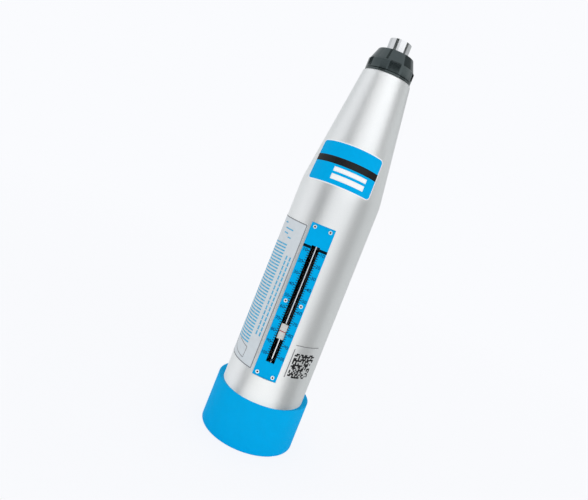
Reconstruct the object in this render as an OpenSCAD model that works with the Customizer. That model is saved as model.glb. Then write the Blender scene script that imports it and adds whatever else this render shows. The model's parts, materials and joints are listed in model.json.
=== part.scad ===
// Concrete test hammer: a spring-driven rebound hammer, shown with its plunger locked in.
// Frame: +Z runs along the barrel towards the plunger tip, the origin is the centre of the
// flat tail face, and the scale faces -Y. All lengths are millimetres.

/* [Barrel] */
// Diameter of the cylindrical barrel
housing_d = 54.4; // [52:0.2:58]
// Bore of the barrel
bore_d = 44.4; // [43.6:0.2:46]
// Length of the outer cone
cone_l = 80.3; // [70:0.1:86]
// Diameter at the small end of the cone
nose_d = 32.9; // [31.8:0.1:36]
// Radius that blends the cylinder into the cone
bend_r = 60; // [20:5:100]

/* [Front cap] */
// Diameter of the cap's straight tier
cap_d = 31.6; // [31:0.1:34]
// Diameter at the foot of the cap's cone
cap_cone_d = 30.6; // [29:0.1:31]
// Diameter of the cap's flat top
cap_top_d = 24.7; // [20:0.1:26]
// Thickness of the cap's end wall
cap_end_t = 2.7; // [2:0.1:5]

/* [Plunger] */
// Diameter of the plunger
plunger_d = 15; // [13:0.1:15.6]
// Length of the plunger
plunger_l = 105.8; // [104:0.1:112]
// Radius of the plunger's striking dome
dome_r = 25; // [15:1:40]
// Travel of the plunger on its cushion spring
cushion_travel = 4; // [2:0.5:5]

/* [Palm cap] */
// Diameter of the rubber palm cap
palm_d = 61.8; // [59:0.2:66]
// Height of the palm cap
palm_h = 30.8; // [26:0.2:36]
// Thickness of the rubber under the rear cover
palm_floor_t = 3.2; // [3:0.2:8]
// Radius of the palm cap's bottom edge
palm_edge_r = 1; // [0.5:0.5:8]

/* [Scale] */
// Stroke of the hammer mass that the scale divides in 100
stroke = 75; // [70:0.5:78]
// Reading where the rider stands
rider_reading = 80; // [40:1:90]
// Width of the scale plate
plate_w = 15.4; // [14.4:0.1:17]
// Length of the scale plate
plate_l = 99.6; // [98:0.1:106]
// Thickness of the scale plate
plate_t = 1.1; // [0.6:0.1:1.6]
// Width of the plate's slot
plate_slot_w = 5.5; // [4.6:0.1:6]
// Length of the plate's slot
plate_slot_l = 76.2; // [72:0.1:80]

/* [Hammer mass and springs] */
// Diameter of the hammer mass's striking collar
collar_d = 38.4; // [37.6:0.1:39]
// Diameter of the hammer mass behind the collar
hammer_d = 32.8; // [30:0.1:33.6]
// Length of the hammer mass behind the collar
hammer_l = 23.3; // [20:0.1:30]
// Diameter of the guide bar
bar_d = 10; // [9:0.1:10.4]
// Length of the impact spring at rest
impact_spring_l = 62; // [56:0.5:66]
// Turns of the impact spring
impact_turns = 15; // [8:1:17]
// Length of the compression spring when the plunger is locked in
compression_spring_l = 24.1; // [22:0.1:30]
// Turns of the compression spring
compression_turns = 10; // [5:1:10]

/* [Lock button] */
// Diameter of the button's head
button_d = 8.2; // [7:0.1:8.6]
// Travel of the button
button_travel = 3; // [2:0.1:3.4]

/* [Hidden] */
$fn = 96;

// Rings to a turn and sides of the springs' wire
RINGS = 8;
SIDES = 6;

// Fits and clearances
overrun = 1;
running = 0.1;
clear = 0.3;
edge_chamfer = 0.6;

// Rear cover and trip screw
cover_plate_t = 4;
cover_spigot_l = 6;
spring_pocket_depth = 2;
spring_pocket_side = 1.9;
spanner_hole_r = 2;
spanner_hole_depth = 3;
spanner_hole_reach = 17;
trip_screw_r = 2.5;
trip_screw_inset = 1.2;
trip_slot_w = 0.9;
trip_slot_depth = 1.4;
nut_flats = 8;
nut_t = 4;

// Guide flange
flange_t = 10;
flange_hub_wall = 1.6;
flange_stop_gap = 0.8;
notch_side = 0.6;

// Hammer mass
lip_r = 12.9;
lip_t = 3.7;
groove_r = 10.4;
groove_l = 7;
collar_t = 4.2;
boss_r = 11;
boss_l = 4.5;

// Impact spring, compression spring and buffer spring
impact_wire_d = 2.2;
impact_mean_r = 13.5;
impact_seat_gap = 0.3;
compression_wire_d = 1.4;
compression_mean_r = 15;
compression_seat_gap = 0.2;
buffer_spring_l = 11;
buffer_wire_d = 1.2;
buffer_mean_r = 4;
buffer_turns = 4;
buffer_seat_gap = 0.1;
bar_depth = 35;

// Nose: guide sleeve, split ring, felt washer and cap
sleeve_stub_l = 6;
sleeve_collar_rim = 0.7;
sleeve_collar_t = 2.7;
sleeve_groove_depth = 1.7;
sleeve_front_depth = 1;
sleeve_front_l = 2;
nose_bore_l = 23;
spigot_wall = 1.8;
spigot_l = 5.7;
nose_chamfer = 0.6;
ring_t = 2.5;
ring_gap = 0.4;
felt_t = 3.2;
cap_wall = 0.7;
cap_foot_chamfer_r = 0.5;
cap_foot_chamfer_l = 0.6;
cap_rim_l = 1.4;
cap_groove_w = 0.6;
cap_groove_depth = 0.4;
cap_step_l = 0.4;
cap_edge_chamfer = 0.2;
cap_hole_gap = 0.4;
throat_r = 15.6;
throat_l = 5;

// Scale seat, window, pointer rod and rider
scale_divisions = 100;
plate_inset = 0.9;
plate_tail_l = 10.1;
plate_slot_tail_l = 4.7;
pocket_side = 0.1;
screw_pitch_x = 10.1;
screw_end_inset = 2.3;
screw_mid_l = 49;
screw_head_r = 1.35;
screw_head_h = 0.45;
screw_recess_r = 0.55;
screw_recess_depth = 0.3;
screw_r = 0.8;
window_t = 1.4;
window_ledge = 0.7;
slot_w = 6.4;
rod_r = 0.9;
rod_inset = 1;
rear_block_l = 6.1;
front_block_l = 3.2;
block_wall = 0.7;
rider_w = 4.4;
rider_l = 9.8;
pointer_w = 4;
pointer_t = 1.2;
pointer_reach = 20;
pointer_overlap = 0.8;

// Pawl, in the plane through the barrel's axis, hook shut
pawl_t = 4;
pawl_open = 13;
pawl_pivot_x = 11.6;
pawl_hub_r = 3.2;
pawl_pin_r = 1.5;
pawl_hook_x = 11;
pawl_hook_l = 4.5;
pawl_hook_gap = 0.4;
pawl_arm_x = 13.6;
pawl_arm_w = 3.2;
pawl_leg_x = 8.6;
pawl_leg_w = 3.6;
pawl_foot_x = 0.2;
pawl_foot_t = 2.3;
pawl_foot_drop = 6;
pawl_slot_x = 18.6;
pawl_spring_wire_d = 0.5;
pawl_spring_mean_r = 2.6;
pawl_spring_turns = 2;
pawl_spring_pitch = 0.95;
pawl_pin_seat = 3.4;

// Lock button, bush and spring
button_nose_r = 2.5;
button_nose_inset = 0.2;
button_head_l = 4.1;
bush_r = 6.4;
bush_wall = 1.8;
bush_rim_r = 7.4;
bush_rim_t = 1.8;
bush_floor_t = 1.2;
bush_proud = 3;
bush_seat_inset = 1.2;
button_wire_d = 0.45;
button_spring_shut_l = 2.2;
button_spring_mean_r = 3.4;
button_turns = 3;
button_dome = 0.8;

// Palm cap mouth
mouth_share = 0.92;
mouth_l = 1.6;
lip_round_r = 0.25;

// Places along the barrel
housing_r = housing_d / 2;
bore_r = bore_d / 2;
cover_z = palm_floor_t;
housing_rear_z = cover_z + cover_plate_t;
cover_front_z = housing_rear_z + cover_spigot_l;
seat_z = cover_front_z - spring_pocket_depth;
flange_z = seat_z + compression_spring_l;
flange_front_z = flange_z + flange_t;
hammer_z = flange_front_z + stroke + flange_stop_gap;
groove_z = hammer_z + lip_t;
body_z = groove_z + groove_l;
shoulder_z = body_z + hammer_l;
collar_front_z = shoulder_z + collar_t;
hammer_front_z = collar_front_z + boss_l;
plunger_z = hammer_front_z + cushion_travel + clear;
plunger_tip_z = plunger_z + plunger_l;
bar_front_z = plunger_z + bar_depth;
plunger_bore_z = bar_front_z + buffer_spring_l;
impact_z = collar_front_z + impact_seat_gap;
impact_front_z = impact_z + impact_spring_l;
sleeve_z = impact_front_z - sleeve_stub_l;
sleeve_collar_z = impact_front_z + impact_seat_gap;
nose_step_z = sleeve_collar_z + sleeve_collar_t;
nose_z = nose_step_z + nose_bore_l;
spigot_z = nose_z + spigot_l;
ring_front_z = spigot_z + ring_t;
felt_z = ring_front_z + sleeve_front_l;
cap_end_z = felt_z + felt_t;
cap_top_z = cap_end_z + cap_end_t;
cone_z = nose_z - cone_l;

// Radii that follow the pieces they hold
plunger_r = plunger_d / 2;
bar_r = bar_d / 2;
collar_r = collar_d / 2;
hammer_r = hammer_d / 2;
cap_r = cap_d / 2;
cap_cone_r = cap_cone_d / 2;
cap_top_r = cap_top_d / 2;
spigot_r = min(cap_r, cap_cone_r) - cap_wall;
cap_bore_r = spigot_r + running;
sleeve_r = spigot_r - spigot_wall;
sleeve_groove_r = sleeve_r - sleeve_groove_depth;
sleeve_front_r = sleeve_r - sleeve_front_depth;
sleeve_collar_r = impact_mean_r + sleeve_collar_rim;
nose_r = nose_d / 2;
palm_r = palm_d / 2;
button_r = button_d / 2;

// Scale places: reading 0 stands one pointer length behind the shoulder, less the clearance
zero_z = shoulder_z - clear - pointer_reach;
full_z = zero_z - stroke;
rider_z = zero_z - stroke * rider_reading / scale_divisions;
seat_y = housing_r - plate_inset - plate_t;
window_y = seat_y - window_t;
rider_y = window_y - clear;
pointer_inner_y = collar_r - pointer_overlap;
rider_inner_y = pointer_inner_y + pointer_t;
rod_y = (rider_y + rider_inner_y) / 2;
block_inner_y = rod_y - rod_r - block_wall;
rear_block_z = full_z - rider_l / 2 - clear - rear_block_l;
front_block_z = zero_z + rider_l / 2 + clear;
slot_z = rear_block_z;
slot_front_z = front_block_z + front_block_l;
plate_slot_z = full_z - plate_slot_tail_l;
plate_z = plate_slot_z - plate_tail_l;
screw_l = seat_y - bore_r;
screw_zs = [
    plate_z + screw_end_inset,
    plate_z + screw_mid_l,
    plate_z + plate_l - screw_end_inset
];

// Pawl places along the barrel
pawl_pivot_z = flange_z + flange_t / 2;
pawl_hook_z = groove_z + pawl_hook_gap - stroke;
pawl_foot_z = flange_z - pawl_foot_drop;
trip_z = pawl_foot_z - clear;
pawl_slot_y = pawl_t / 2 + clear;
pawl_spring_l = pawl_spring_turns * pawl_spring_pitch + pawl_spring_wire_d;
pawl_slot_far_y = pawl_slot_y + pawl_spring_l + clear;

// Button places
button_z = flange_front_z + clear + button_nose_r;
bush_inner_y = bore_r + clear;
bush_floor_y = bush_inner_y + bush_floor_t;
bush_seat_y = housing_r - bush_seat_inset;
bush_front_y = housing_r + bush_proud;
button_nose_y = bush_inner_y + button_nose_inset;
button_head_y = bush_floor_y + button_spring_shut_l + button_travel;
button_front_y = button_head_y + button_head_l;

// Shapes that repeat

// A turned ring between two radii and two heights
module turned(r_out, r_in, z_low, z_high) {
    translate([0, 0, z_low])
        difference() {
            cylinder(r = r_out, h = z_high - z_low);
            translate([0, 0, -overrun])
                cylinder(r = r_in, h = z_high - z_low + 2 * overrun);
        }
}

// A point of a helix about Z, with straight runs of one wire diameter at both ends
function coil_point(a, r, pitch) = [r * cos(a), r * sin(a), pitch * a / 360];
function coil_run(r, pitch) = [0, 2 * PI * r, pitch] / norm([2 * PI * r, pitch]);
function turn_z(v, a) = [v.x * cos(a) - v.y * sin(a), v.x * sin(a) + v.y * cos(a), v.z];

function coil_path(r, pitch, turns, wire_d) =
    let (last = turns * RINGS, step = 360 / RINGS)
    concat(
        [coil_point(0, r, pitch) - coil_run(r, pitch) * wire_d],
        [for (i = [0 : last]) coil_point(i * step, r, pitch)],
        [coil_point(last * step, r, pitch) + turn_z(coil_run(r, pitch), last * step) * wire_d]
    );
function coil_angle(i, turns) = min(max(i - 1, 0), turns * RINGS) * 360 / RINGS;

// Least gap of a coil to itself: neighbouring turns, measured on the path's own points
function coil_gap(r, pitch, turns, wire_d) =
    let (path = coil_path(r, pitch, turns, wire_d), count = len(path))
    min([for (i = [0 : count - RINGS - 1], j = [i + RINGS - 2 : min(i + RINGS + 2, count - 1)])
        norm(path[i] - path[j])]) - wire_d;

// A spring about Z from z_low to z_high, one unbroken tube
module spring(name, mean_r, wire_d, turns, z_low, z_high) {
    pitch = (z_high - z_low - wire_d) / turns;
    path = coil_path(mean_r, pitch, turns, wire_d);
    run = coil_run(mean_r, pitch);
    count = len(path);
    points = [for (i = [0 : count - 1], k = [0 : SIDES - 1])
        let (
            a = coil_angle(i, turns),
            out = [cos(a), sin(a), 0],
            up = cross(out, turn_z(run, a)),
            f = k * 360 / SIDES
        )
        path[i] + (out * cos(f) + up * sin(f)) * wire_d / 2];
    sides = [for (i = [0 : count - 2], k = [0 : SIDES - 1], half = [0, 1])
        let (p = i * SIDES + k, q = i * SIDES + (k + 1) % SIDES)
        half == 0 ? [p, q, q + SIDES] : [p, q + SIDES, p + SIDES]];
    first = [for (k = [1 : SIDES - 2]) [0, k + 1, k]];
    base = (count - 1) * SIDES;
    final = [for (k = [1 : SIDES - 2]) [base, base + k, base + k + 1]];
    echo(spring = name, least_gap = coil_gap(mean_r, pitch, turns, wire_d));
    translate([0, 0, z_low + wire_d / 2])
        polyhedron(points = points, faces = concat(first, sides, final));
}

// A hole or pin along +Y at a height, from one depth to another
module across_y(r, y_low, y_high, z) {
    translate([0, y_low, z])
        rotate([-90, 0, 0])
            cylinder(r = r, h = y_high - y_low);
}

// A bar on the scale side: width across X, from inner to outer depth, from z_low to z_high
module scale_bar(w, inner, outer, z_low, z_high) {
    translate([-w / 2, -outer, z_low])
        cube([w, outer - inner, z_high - z_low]);
}

// Places of the six scale screws, on the seat of the scale plate
module at_screws() {
    for (z = screw_zs, side = [-1, 1])
        translate([side * screw_pitch_x / 2, -seat_y, z])
            rotate([90, 0, 0])
                children();
}

// Outer form of the barrel: cylinder, blended bend, cone and threaded spigot
module barrel_outside() {
    half = atan((housing_r - nose_r) / cone_l);
    reach = bend_r * tan(half / 2);
    bend_steps = 6;
    bend = [for (i = [0 : bend_steps])
        let (a = half * i / bend_steps)
        [housing_r - bend_r + bend_r * cos(a), cone_z - reach + bend_r * sin(a)]];
    rotate_extrude()
        polygon(concat(
            [[0, housing_rear_z], [housing_r, housing_rear_z]],
            bend,
            [
                [nose_r + nose_chamfer * tan(half), nose_z - nose_chamfer],
                [nose_r - nose_chamfer, nose_z],
                [spigot_r, nose_z],
                [spigot_r, spigot_z],
                [0, spigot_z]
            ]
        ));
}

// Inner form of the barrel: main bore, tapered throat and nose bore
module barrel_inside() {
    rotate_extrude()
        polygon([
            [0, housing_rear_z - overrun],
            [bore_r, housing_rear_z - overrun],
            [bore_r, cone_z],
            [throat_r, nose_step_z - throat_l],
            [throat_r, nose_step_z],
            [sleeve_r + running, nose_step_z],
            [sleeve_r + running, spigot_z + overrun],
            [0, spigot_z + overrun]
        ]);
}

module housing() {
    color("silver")
        difference() {
            barrel_outside();
            barrel_inside();
            scale_bar(plate_w + 2 * pocket_side, seat_y, housing_r + overrun,
                plate_z - pocket_side, plate_z + plate_l + pocket_side);
            scale_bar(slot_w + 2 * window_ledge, window_y, seat_y + overrun,
                slot_z - window_ledge, slot_front_z + window_ledge);
            scale_bar(slot_w, 0, seat_y, slot_z, slot_front_z);
            at_screws()
                translate([0, 0, -screw_l])
                    cylinder(r = screw_r, h = screw_l + overrun);
            across_y(bush_r, 0, housing_r + overrun, button_z);
            across_y(bush_rim_r + pocket_side, bush_seat_y, housing_r + overrun, button_z);
        }
}

module front_cap() {
    color("dimgray")
        rotate_extrude()
            polygon([
                [cap_bore_r, nose_z],
                [cap_r - cap_foot_chamfer_r, nose_z],
                [cap_r, nose_z + cap_foot_chamfer_l],
                [cap_r, nose_z + cap_rim_l],
                [cap_r - cap_groove_depth, nose_z + cap_rim_l + cap_groove_w / 2],
                [cap_r, nose_z + cap_rim_l + cap_groove_w],
                [cap_r, ring_front_z - cap_edge_chamfer],
                [cap_r - cap_edge_chamfer, ring_front_z],
                [cap_cone_r, ring_front_z],
                [cap_cone_r, ring_front_z + cap_step_l],
                [cap_top_r, cap_top_z],
                [plunger_r + cap_hole_gap, cap_top_z],
                [plunger_r + cap_hole_gap, cap_end_z],
                [sleeve_front_r + running, cap_end_z],
                [sleeve_front_r + running, ring_front_z],
                [cap_bore_r, ring_front_z]
            ]);
}

module felt_washer() {
    color("tan")
        turned(sleeve_front_r, plunger_r + running, felt_z, cap_end_z);
}

module two_part_ring() {
    color("slategray")
        difference() {
            turned(spigot_r - running, sleeve_groove_r + running, spigot_z, ring_front_z);
            translate([-ring_gap / 2, -spigot_r, spigot_z - overrun])
                cube([ring_gap, 2 * spigot_r, ring_t + 2 * overrun]);
        }
}

module guide_sleeve() {
    hole_r = plunger_r + running;
    color("darkgray")
        rotate_extrude()
            polygon([
                [hole_r, sleeve_z],
                [boss_r, sleeve_z],
                [boss_r, sleeve_collar_z],
                [sleeve_collar_r, sleeve_collar_z],
                [sleeve_collar_r, nose_step_z],
                [sleeve_r, nose_step_z],
                [sleeve_r, spigot_z],
                [sleeve_groove_r, spigot_z],
                [sleeve_groove_r, ring_front_z],
                [sleeve_front_r, ring_front_z],
                [sleeve_front_r, felt_z],
                [hole_r, felt_z]
            ]);
}

module impact_spring() {
    color("lightsteelblue")
        spring("impact", impact_mean_r, impact_wire_d, impact_turns, impact_z, impact_front_z);
}

module rear_cover() {
    pocket_r = compression_wire_d / 2 + spring_pocket_side;
    color("gray")
        difference() {
            union() {
                turned(housing_r, trip_screw_r, cover_z, housing_rear_z);
                turned(bore_r - running, trip_screw_r, housing_rear_z, cover_front_z);
            }
            turned(compression_mean_r + pocket_r, compression_mean_r - pocket_r,
                seat_z, cover_front_z + overrun);
            for (side = [-1, 1])
                translate([side * spanner_hole_reach, 0, cover_z - overrun])
                    cylinder(r = spanner_hole_r, h = spanner_hole_depth + overrun);
        }
}

module trip_screw() {
    screw_z = cover_z + trip_screw_inset;
    color("dimgray")
        difference() {
            translate([0, 0, screw_z])
                cylinder(r = trip_screw_r, h = trip_z - screw_z);
            translate([-trip_screw_r - overrun, -trip_slot_w / 2, screw_z - overrun])
                cube([2 * (trip_screw_r + overrun), trip_slot_w, trip_slot_depth + overrun]);
        }
}

module lock_nut() {
    color("darkgray")
        difference() {
            translate([0, 0, cover_front_z])
                cylinder(r = nut_flats / 2 / cos(30), h = nut_t, $fn = 6);
            translate([0, 0, cover_front_z - overrun])
                cylinder(r = trip_screw_r, h = nut_t + 2 * overrun);
        }
}

// Half section of the palm cap: rounded bottom edge, straight wall and a mouth that slopes in to the barrel
module palm_section() {
    mouth_r = housing_r + (palm_r - housing_r) * mouth_share;
    difference() {
        union() {
            polygon([
                [0, 0],
                [palm_r - palm_edge_r, 0],
                [palm_r, palm_edge_r],
                [palm_r, palm_h - lip_round_r],
                [palm_r - lip_round_r, palm_h],
                [0, palm_h]
            ]);
            intersection() {
                translate([palm_r - palm_edge_r, palm_edge_r])
                    circle(r = palm_edge_r);
                translate([palm_r - palm_edge_r, 0])
                    square([palm_edge_r, palm_edge_r]);
            }
            intersection() {
                translate([palm_r - lip_round_r, palm_h - lip_round_r])
                    circle(r = lip_round_r);
                translate([palm_r - lip_round_r, palm_h - lip_round_r])
                    square([lip_round_r, lip_round_r]);
            }
        }
        translate([0, cover_z])
            square([housing_r, palm_h]);
        polygon([
            [0, palm_h - mouth_l],
            [housing_r, palm_h - mouth_l],
            [mouth_r, palm_h],
            [mouth_r, palm_h + overrun],
            [0, palm_h + overrun]
        ]);
    }
}

module palm_cap() {
    color("deepskyblue")
        rotate_extrude()
            palm_section();
}

module scale_plate() {
    color("dodgerblue")
        difference() {
            scale_bar(plate_w, seat_y, seat_y + plate_t, plate_z, plate_z + plate_l);
            scale_bar(plate_slot_w, seat_y - overrun, seat_y + plate_t + overrun,
                plate_slot_z, plate_slot_z + plate_slot_l);
            at_screws()
                translate([0, 0, -overrun])
                    cylinder(r = screw_r, h = plate_t + 2 * overrun);
        }
}

module scale_screws() {
    color("gainsboro")
        at_screws()
            difference() {
                union() {
                    translate([0, 0, -screw_l])
                        cylinder(r = screw_r, h = screw_l + plate_t);
                    translate([0, 0, plate_t])
                        cylinder(r1 = screw_head_r, r2 = screw_head_r - screw_head_h / 2,
                            h = screw_head_h);
                }
                translate([0, 0, plate_t + screw_head_h - screw_recess_depth])
                    cylinder(r = screw_recess_r, h = screw_recess_depth + overrun);
            }
}

module window() {
    color("lightcyan", 0.4)
        scale_bar(slot_w + 2 * window_ledge, window_y, seat_y,
            slot_z - window_ledge, slot_front_z + window_ledge);
}

module pointer_rod() {
    color("whitesmoke")
        translate([0, -rod_y, slot_z + rod_inset])
            cylinder(r = rod_r, h = slot_front_z - slot_z - 2 * rod_inset);
}

module rod_blocks() {
    color("darkslategray")
        difference() {
            union() {
                scale_bar(slot_w, block_inner_y, window_y, rear_block_z, rear_block_z + rear_block_l);
                scale_bar(slot_w, block_inner_y, window_y, front_block_z, slot_front_z);
            }
            translate([0, -rod_y, slot_z + rod_inset])
                cylinder(r = rod_r, h = slot_front_z - slot_z - 2 * rod_inset);
        }
}

module button_bush() {
    color("gray")
        difference() {
            union() {
                across_y(bush_r, bush_inner_y, bush_seat_y, button_z);
                across_y(bush_rim_r, bush_seat_y, bush_seat_y + bush_rim_t, button_z);
                across_y(button_r + bush_wall, bush_seat_y, bush_front_y, button_z);
            }
            across_y(button_nose_r + running, 0, housing_r, button_z);
            across_y(button_r + running, bush_floor_y, bush_front_y + overrun, button_z);
        }
}

module button_spring() {
    color("lightsteelblue")
        translate([0, 0, button_z])
            rotate([-90, 0, 0])
                spring("button", button_spring_mean_r, button_wire_d, button_turns,
                    bush_floor_y + running, button_head_y - running);
}

module compression_spring() {
    color("lightsteelblue")
        spring("compression", compression_mean_r, compression_wire_d, compression_turns,
            seat_z + compression_seat_gap, flange_z - compression_seat_gap);
}

module guide_bar() {
    color("whitesmoke")
        translate([0, 0, flange_z]) {
            cylinder(r = bar_r, h = bar_front_z - flange_z - edge_chamfer);
            translate([0, 0, bar_front_z - flange_z - edge_chamfer])
                cylinder(r1 = bar_r, r2 = bar_r - edge_chamfer, h = edge_chamfer);
        }
}

module guide_flange() {
    flange_r = bore_r - running;
    notch_floor_y = pointer_inner_y - clear;
    slot_x = bar_r + flange_hub_wall;
    color("darkgray")
        difference() {
            rotate_extrude()
                polygon([
                    [bar_r, flange_z],
                    [flange_r - edge_chamfer, flange_z],
                    [flange_r, flange_z + edge_chamfer],
                    [flange_r, flange_front_z - edge_chamfer],
                    [flange_r - edge_chamfer, flange_front_z],
                    [bar_r, flange_front_z]
                ]);
            scale_bar(slot_w + 2 * notch_side, notch_floor_y, bore_r + overrun,
                flange_z - overrun, flange_front_z + overrun);
            translate([slot_x, -pawl_slot_y, flange_z - overrun])
                cube([pawl_slot_x - slot_x, pawl_slot_y + pawl_slot_far_y, flange_t + 2 * overrun]);
            translate([pawl_pivot_x, 0, 0])
                across_y(pawl_pin_r, -pawl_slot_y - pawl_pin_seat, bore_r, pawl_pivot_z);
        }
}

module pawl_pin() {
    color("whitesmoke")
        translate([pawl_pivot_x, 0, 0])
            across_y(pawl_pin_r, -pawl_slot_y - pawl_pin_seat, pawl_slot_far_y + pawl_pin_seat,
                pawl_pivot_z);
}

module pawl_spring() {
    color("lightsteelblue")
        translate([pawl_pivot_x, 0, pawl_pivot_z])
            rotate([-90, 0, 0])
                spring("pawl", pawl_spring_mean_r, pawl_spring_wire_d, pawl_spring_turns,
                    pawl_slot_y, pawl_slot_y + pawl_spring_l);
}

// Turned rod with a blind bore for the guide bar and a domed striking end
module plunger() {
    bore = bar_r + running;
    dome_h = dome_r - sqrt(dome_r * dome_r - plunger_r * plunger_r);
    color("whitesmoke")
        rotate_extrude()
            difference() {
                union() {
                    translate([0, plunger_z])
                        square([plunger_r, plunger_l - dome_h]);
                    intersection() {
                        translate([0, plunger_tip_z - dome_r])
                            circle(r = dome_r);
                        translate([0, plunger_tip_z - dome_h - overrun])
                            square([plunger_r, dome_h + 2 * overrun]);
                    }
                }
                translate([0, plunger_z - overrun])
                    square([bore, plunger_bore_z - plunger_z + overrun]);
                polygon([
                    [bore, plunger_z + edge_chamfer],
                    [bore, plunger_z - overrun],
                    [bore + edge_chamfer + overrun, plunger_z - overrun]
                ]);
            }
}

module buffer_spring() {
    color("lightsteelblue")
        spring("buffer", buffer_mean_r, buffer_wire_d, buffer_turns,
            bar_front_z + buffer_seat_gap, plunger_bore_z - buffer_seat_gap);
}

module hammer_mass() {
    hole_r = bar_r + running;
    color("slategray")
        rotate_extrude()
            polygon([
                [hole_r, hammer_z],
                [lip_r - edge_chamfer, hammer_z],
                [lip_r, hammer_z + edge_chamfer],
                [lip_r, groove_z],
                [groove_r, groove_z],
                [groove_r, body_z],
                [hammer_r - edge_chamfer, body_z],
                [hammer_r, body_z + edge_chamfer],
                [hammer_r, shoulder_z],
                [collar_r, shoulder_z],
                [collar_r, collar_front_z - edge_chamfer],
                [collar_r - edge_chamfer, collar_front_z],
                [boss_r, collar_front_z],
                [boss_r, hammer_front_z - edge_chamfer],
                [boss_r - edge_chamfer, hammer_front_z],
                [hole_r, hammer_front_z]
            ]);
}

// Pawl outline with the hook shut, from its pivot: arm, hook, leg and foot
module pawl_outline() {
    hook_z = pawl_hook_z - pawl_pivot_z;
    arm_x = pawl_arm_x - pawl_pivot_x;
    hook_x = pawl_hook_x - pawl_pivot_x;
    foot_x = pawl_foot_x - pawl_pivot_x;
    foot_z = pawl_foot_z - pawl_pivot_z;
    leg_x = pawl_leg_x - pawl_pivot_x;
    polygon([
        [leg_x, 0],
        [arm_x, pawl_hub_r],
        [arm_x, hook_z],
        [hook_x, hook_z],
        [hook_x, hook_z + pawl_hook_l / 2],
        [arm_x, hook_z + pawl_hook_l],
        [arm_x + pawl_arm_w, hook_z + pawl_hook_l],
        [arm_x + pawl_arm_w, pawl_hub_r],
        [2 * pawl_pin_r, 0],
        [leg_x + pawl_leg_w, foot_z],
        [foot_x, foot_z],
        [foot_x, foot_z + pawl_foot_t],
        [leg_x, foot_z + pawl_foot_t]
    ]);
}

module pawl() {
    color("dimgray")
        translate([pawl_pivot_x, pawl_t / 2, pawl_pivot_z])
            rotate([0, pawl_open, 0])
                rotate([90, 0, 0])
                    difference() {
                        union() {
                            linear_extrude(pawl_t)
                                pawl_outline();
                            cylinder(r = pawl_hub_r, h = pawl_t);
                        }
                        translate([0, 0, -overrun])
                            cylinder(r = pawl_pin_r + running, h = pawl_t + 2 * overrun);
                    }
}

module rider() {
    color("ivory")
        difference() {
            scale_bar(rider_w, rider_inner_y, rider_y, rider_z - rider_l / 2, rider_z + rider_l / 2);
            translate([0, -rod_y, rider_z - rider_l])
                cylinder(r = rod_r + running, h = 2 * rider_l);
        }
}

module pointer_plate() {
    color("dimgray")
        scale_bar(pointer_w, pointer_inner_y, rider_inner_y,
            rider_z - rider_l / 2, rider_z + pointer_reach);
}

module button() {
    color("lightgray") {
        across_y(button_nose_r, button_nose_y, button_head_y, button_z);
        across_y(button_r, button_head_y, button_front_y - button_dome, button_z);
        translate([0, button_front_y - button_dome, button_z])
            rotate([-90, 0, 0])
                cylinder(r1 = button_r, r2 = button_r - button_dome, h = button_dome);
    }
}

housing();
front_cap();
felt_washer();
two_part_ring();
guide_sleeve();
impact_spring();
rear_cover();
trip_screw();
lock_nut();
palm_cap();
scale_plate();
scale_screws();
window();
pointer_rod();
rod_blocks();
button_bush();
button_spring();
compression_spring();
guide_bar();
guide_flange();
pawl_pin();
pawl_spring();
plunger();
buffer_spring();
hammer_mass();
pawl();
rider();
pointer_plate();
button();
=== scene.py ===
"""Looks of a concrete test hammer: finishes, labels, scale print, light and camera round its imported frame.

Lengths are millimetres until a mesh is written, which is in metres. The hammer stands on its tail
face, +Z runs up the barrel to the plunger tip, and the scale faces -Y. A place on the barrel is an
angle round it, 0 at the scale and growing to the right, and a height.
"""
import json
import math

import bpy
import numpy as np
from mathutils import Matrix, Vector


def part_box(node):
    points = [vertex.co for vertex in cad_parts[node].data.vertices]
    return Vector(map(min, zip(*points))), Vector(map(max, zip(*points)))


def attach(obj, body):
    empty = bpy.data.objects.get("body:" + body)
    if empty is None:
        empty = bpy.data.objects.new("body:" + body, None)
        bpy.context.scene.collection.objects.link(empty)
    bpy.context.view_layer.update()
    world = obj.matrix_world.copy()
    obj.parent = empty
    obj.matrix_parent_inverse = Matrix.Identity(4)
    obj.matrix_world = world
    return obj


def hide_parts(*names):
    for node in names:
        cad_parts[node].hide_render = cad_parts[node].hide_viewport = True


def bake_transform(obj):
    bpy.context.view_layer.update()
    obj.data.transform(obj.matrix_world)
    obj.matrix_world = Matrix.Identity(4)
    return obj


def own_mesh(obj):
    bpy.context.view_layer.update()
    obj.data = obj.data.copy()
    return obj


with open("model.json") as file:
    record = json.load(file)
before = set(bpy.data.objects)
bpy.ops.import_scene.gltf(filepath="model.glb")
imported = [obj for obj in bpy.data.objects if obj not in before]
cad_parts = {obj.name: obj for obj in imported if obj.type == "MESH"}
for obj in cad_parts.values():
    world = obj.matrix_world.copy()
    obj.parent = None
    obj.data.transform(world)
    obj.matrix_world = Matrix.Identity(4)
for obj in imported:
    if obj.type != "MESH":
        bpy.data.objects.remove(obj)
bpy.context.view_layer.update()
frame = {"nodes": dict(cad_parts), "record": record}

MM = 0.001


def box_mm(node):
    """Lowest and highest corner of a CAD node in millimetres."""
    low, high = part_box(node)
    return np.array(low) / MM, np.array(high) / MM


# Barrel: cylinder, bend and cone, as the solid has them
barrel_r = box_mm("housing")[1][0]
nose_r = 16.45
nose_z = box_mm("front_cap")[0][2]
cone_l = 80.3
bend_r = 60.0
cone_z = nose_z - cone_l
cone_half = math.atan((barrel_r - nose_r) / cone_l)
bend_reach = bend_r * math.tan(cone_half / 2)

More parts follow.
